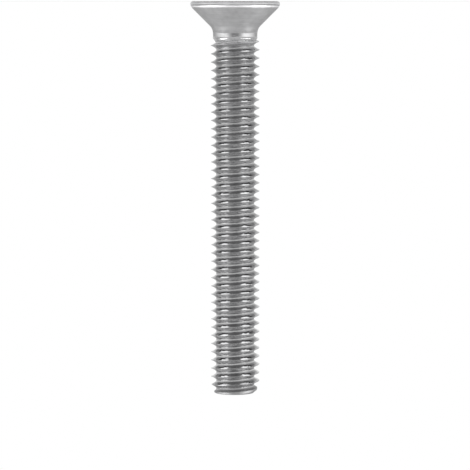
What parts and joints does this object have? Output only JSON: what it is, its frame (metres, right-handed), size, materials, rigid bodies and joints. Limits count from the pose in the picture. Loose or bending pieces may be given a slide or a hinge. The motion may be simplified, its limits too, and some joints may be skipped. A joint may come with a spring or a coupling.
{
  "type": "countersunk machine screw",
  "caption": "Steel machine screw with a flat countersunk head, a cross recess, a short plain neck and a right-hand coarse thread down to a tapered flat tip.",
  "frame": {"origin": "centre of the head's flat top face, on which the screw stands", "axes": "+Z along the shank from the head's top face to the tip; X and Y along the wings of the cross recess"},
  "size_m": [0.0108, 0.0108, 0.0473],
  "materials": {
    "zinc_plate": "bright satin zinc plating on steel, neutral light grey"
  },
  "bodies": {
    "root": {"screw": "zinc_plate"}
  },
  "joints": []
}
